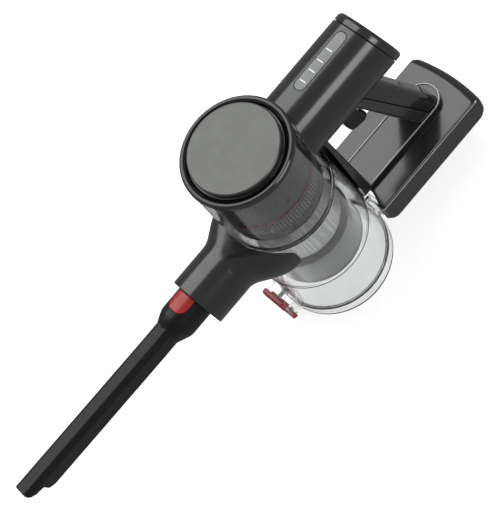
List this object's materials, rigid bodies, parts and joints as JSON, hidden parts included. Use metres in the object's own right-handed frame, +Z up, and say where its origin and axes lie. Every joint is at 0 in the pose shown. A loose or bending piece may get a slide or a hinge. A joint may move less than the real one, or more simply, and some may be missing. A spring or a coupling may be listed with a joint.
{
  "type": "handheld vacuum",
  "caption": "Cordless handheld vacuum with a cyclone in a clear bin, motor barrel, looped grip, slide-on battery and a long crevice tool.",
  "frame": {"origin": "centre of the bin lid's underside, on the cyclone's axis", "axes": "+Z up the cyclone's axis, -X along the crevice tool to its tip, +X to the grip and battery, Y across"},
  "size_m": [0.57, 0.125, 0.2677],
  "materials": {
    "gunmetal": "satin gunmetal lacquer",
    "cap_grey": "satin grey lacquer",
    "rim_dark": "gloss",
    "black_gloss": "gloss",
    "black_satin": "fine satin",
    "red_button": "satin",
    "red_latch": "gloss",
    "clear_plastic": "clear polycarbonate, plastic",
    "smoke_plastic": "smoke tinted polycarbonate, plastic",
    "head_grey": "satin",
    "rubber": "matt",
    "steel": "bright",
    "mesh_steel": "etched mesh",
    "contact_brass": "bright",
    "windings": "enamelled copper windings",
    "board_green": "solder mask",
    "filter_media": "pleated felt",
    "cell_wrap": "shrink film over a steel can",
    "trim_silver": "bright",
    "panel_grey": "translucent satin",
    "white_light": "satin",
    "switch_blue": "satin"
  },
  "bodies": {
    "main_body": {"barrel_shell": "gunmetal", "barrel_end_cap": "gunmetal", "exhaust_filter": "filter_media", "led_panel": "panel_grey", "led_bars": "white_light", "controller_board": "board_green", "motor_can": "steel", "motor_stator": "windings", "motor_mount_front": "rubber", "motor_mount_rear": "rubber", "front_bearing": "steel", "rear_bearing": "steel", "fan_housing": "head_grey", "smoke_shell": "smoke_plastic", "top_rim_ring": "rim_dark", "cyclone_head": "head_grey", "accent_ring": "red_latch", "slot_ring": "head_grey", "cyclone_cones": "head_grey", "mesh_shroud": "mesh_steel", "shroud_skirt": "head_grey", "bin_seal": "rubber", "inlet_duct": "gunmetal", "inlet_seal": "rubber", "front_strut": "gunmetal", "foot_plate": "gunmetal", "foot_rim": "trim_silver", "grip_front_shell": "gunmetal", "grip_rear_cover": "black_gloss", "foot_screws": "steel", "trigger_pin": "steel", "trigger_spring": "steel", "trigger_switch": "switch_blue", "dock_contacts": "contact_brass"},
    "rotor": {"impeller": "head_grey", "motor_shaft": "steel", "rotor_magnet": "steel"},
    "trigger": {"trigger": "black_satin"},
    "filter": {"filter_cap": "cap_grey", "filter_holder": "black_gloss", "pre_filter": "filter_media"},
    "tool": {"crevice_tool": "black_satin", "tool_button_spring": "steel"},
    "tool_button": {"tool_release_button": "red_button"},
    "bin": {"bin_cup": "clear_plastic", "lid_hinge_pin": "steel", "latch_pin": "steel", "latch_spring": "steel"},
    "lid": {"bin_lid": "clear_plastic", "lid_seal": "rubber"},
    "latch": {"bin_latch": "red_latch"},
    "battery": {"battery_upper_shell": "gunmetal", "battery_lower_shell": "gunmetal", "battery_trim": "trim_silver", "battery_cells": "cell_wrap", "battery_board": "board_green", "battery_contacts": "contact_brass", "charging_jack": "black_gloss", "battery_button_spring": "steel"},
    "battery_button": {"battery_release_button": "black_satin"}
  },
  "joints": [
    {"name": "rotor_spin", "type": "hinge", "parent": "main_body", "child": "rotor", "pos_m": [0.1, 0, 0.2187], "axis": [1, 0, 0], "continuous": true},
    {"name": "trigger_squeeze", "type": "hinge", "parent": "main_body", "child": "trigger", "pos_m": [0.107, 0, 0.175], "axis": [0, -1, 0], "range_deg": [0, 7], "stiffness_Nm_per_rad": 0.8, "springref_deg": -8.59, "deforming": ["trigger_spring"]},
    {"name": "filter_lift", "type": "slide", "parent": "main_body", "child": "filter", "axis": [0, 0, 1], "range_m": [0, 0.06]},
    {"name": "tool_pull", "type": "slide", "parent": "main_body", "child": "tool", "axis": [-1, 0, 0], "range_m": [0, 0.06]},
    {"name": "tool_button_press", "type": "slide", "parent": "tool", "child": "tool_button", "axis": [0, 0, -1], "range_m": [0, 0.002], "stiffness_N_per_m": 300, "springref_m": -0.002, "deforming": ["tool_button_spring"]},
    {"name": "bin_drop", "type": "slide", "parent": "main_body", "child": "bin", "axis": [0, 0, -1], "range_m": [0, 0.1]},
    {"name": "lid_swing", "type": "hinge", "parent": "bin", "child": "lid", "pos_m": [0.067, 0, 0.008], "axis": [0, -1, 0], "range_deg": [0, 95]},
    {"name": "latch_press", "type": "hinge", "parent": "bin", "child": "latch", "pos_m": [-0.071, 0, 0.027], "axis": [0, 1, 0], "range_deg": [0, 12], "stiffness_Nm_per_rad": 0.3, "springref_deg": -8.59, "deforming": ["latch_spring"]},
    {"name": "battery_slide", "type": "slide", "parent": "main_body", "child": "battery", "axis": [1, 0, 0], "range_m": [0, 0.11]},
    {"name": "battery_button_press", "type": "slide", "parent": "battery", "child": "battery_button", "axis": [0, 0, 1], "range_m": [0, 0.0025], "stiffness_N_per_m": 400, "springref_m": -0.002, "deforming": ["battery_button_spring"]}
  ]
}
